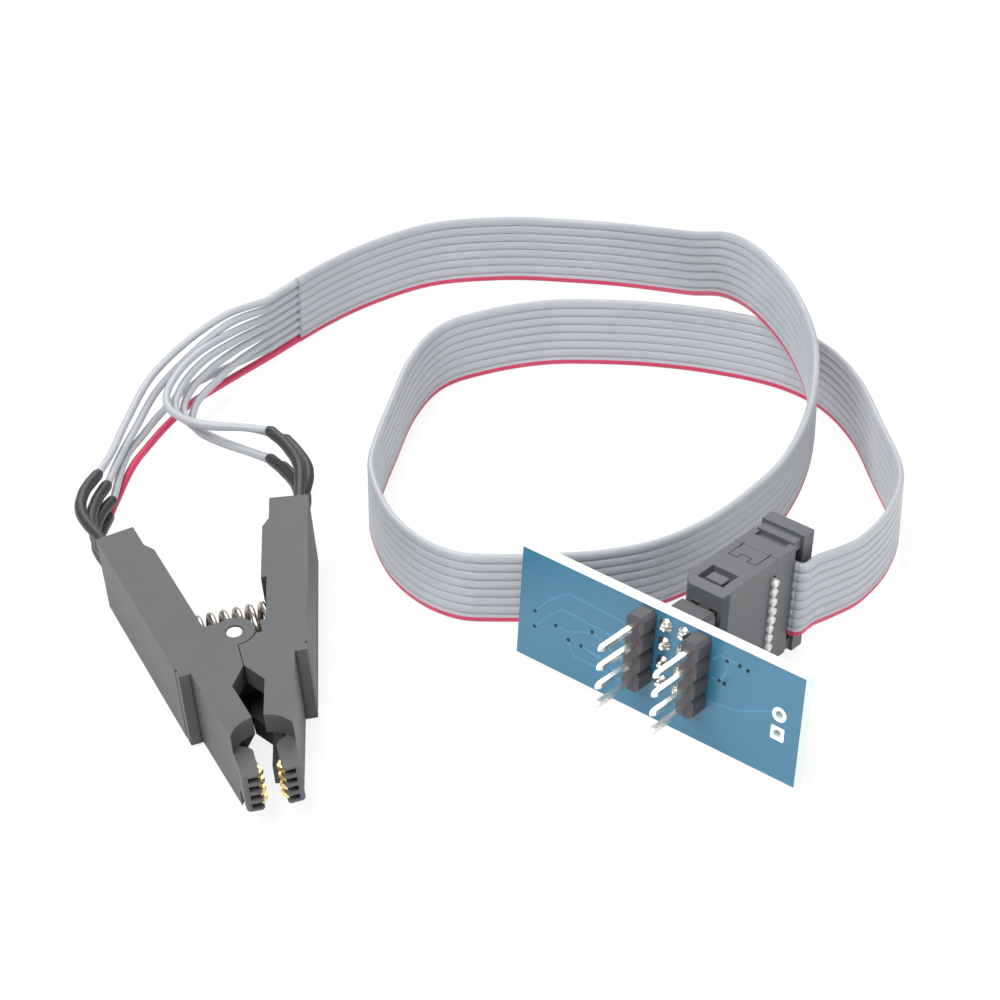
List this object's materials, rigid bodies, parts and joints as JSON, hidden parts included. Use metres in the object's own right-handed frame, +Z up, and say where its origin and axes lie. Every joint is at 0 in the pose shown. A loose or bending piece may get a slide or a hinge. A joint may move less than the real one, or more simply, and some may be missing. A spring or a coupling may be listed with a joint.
{
  "type": "ic test clip",
  "caption": "Spring clip that grips a small-outline chip, with comb contacts, a ribbon lead, a crimped socket and a plug-in adapter board.",
  "frame": {"origin": "on the table, under the middle of the box round the clip and the adapter board", "axes": "+Z up from the table, +Y along the clip towards its handles, +X from the clip towards the adapter board"},
  "size_m": [0.1005, 0.1126, 0.0218],
  "materials": {
    "jaw_plastic": "matte moulded, dark grey to black",
    "connector_plastic": "satin moulded, dark grey",
    "header_plastic": "matte moulded, charcoal",
    "pin_steel": "turned end, polished",
    "spring_steel": "drawn wire, bright",
    "gold_contact": "gold flash",
    "sleeve_black": "shrunk polymer, satin black",
    "wire_red": "satin, red",
    "cable_grey": "satin, light grey",
    "board_blue": "solder mask, blue, slightly glossy",
    "tinned_pin": "tinned, bright",
    "pad_tin": "tinned pad"
  },
  "bodies": {
    "clip_and_lead": {"jaw_left": "jaw_plastic", "pivot_pin": "pin_steel", "spring": "spring_steel", "contact_l1": "gold_contact", "contact_l2": "gold_contact", "contact_l3": "gold_contact", "contact_l4": "gold_contact", "sleeve_l1": "sleeve_black", "sleeve_l2": "sleeve_black", "sleeve_l3": "sleeve_black", "sleeve_l4": "sleeve_black", "wire_1": "wire_red", "wire_2": "cable_grey", "wire_3": "cable_grey", "wire_4": "cable_grey", "wire_5": "cable_grey", "wire_6": "cable_grey", "wire_7": "cable_grey", "wire_8": "cable_grey", "ribbon_cable": "cable_grey", "ribbon_fold": "cable_grey", "socket_body": "connector_plastic", "socket_cover": "connector_plastic", "strain_relief": "connector_plastic", "socket_contacts": "gold_contact"},
    "right_half": {"jaw_right": "jaw_plastic", "contact_r1": "gold_contact", "contact_r2": "gold_contact", "contact_r3": "gold_contact", "contact_r4": "gold_contact", "sleeve_r1": "sleeve_black", "sleeve_r2": "sleeve_black", "sleeve_r3": "sleeve_black", "sleeve_r4": "sleeve_black"},
    "adapter_board": {"circuit_board": "board_blue", "dip_bar_left": "header_plastic", "dip_bar_right": "header_plastic", "dip_pins": "tinned_pin", "header_base": "header_plastic", "header_pins": "tinned_pin", "pad_rings": "pad_tin"}
  },
  "joints": [
    {"name": "jaw_hinge", "type": "hinge", "parent": "clip_and_lead", "child": "right_half", "pos_m": [-0.02237, -0.00509, 0.0063], "axis": [-0.0872, 0, 0.9962], "range_deg": [0, 20], "stiffness_Nm_per_rad": 0.017, "springref_deg": -20.05, "deforming": ["spring", "wire_3", "wire_4", "wire_5", "wire_6"]},
    {"name": "board_unplug", "type": "slide", "parent": "clip_and_lead", "child": "adapter_board", "axis": [-0.7879, -0.6068, 0.1045], "range_m": [0, 0.008]}
  ]
}
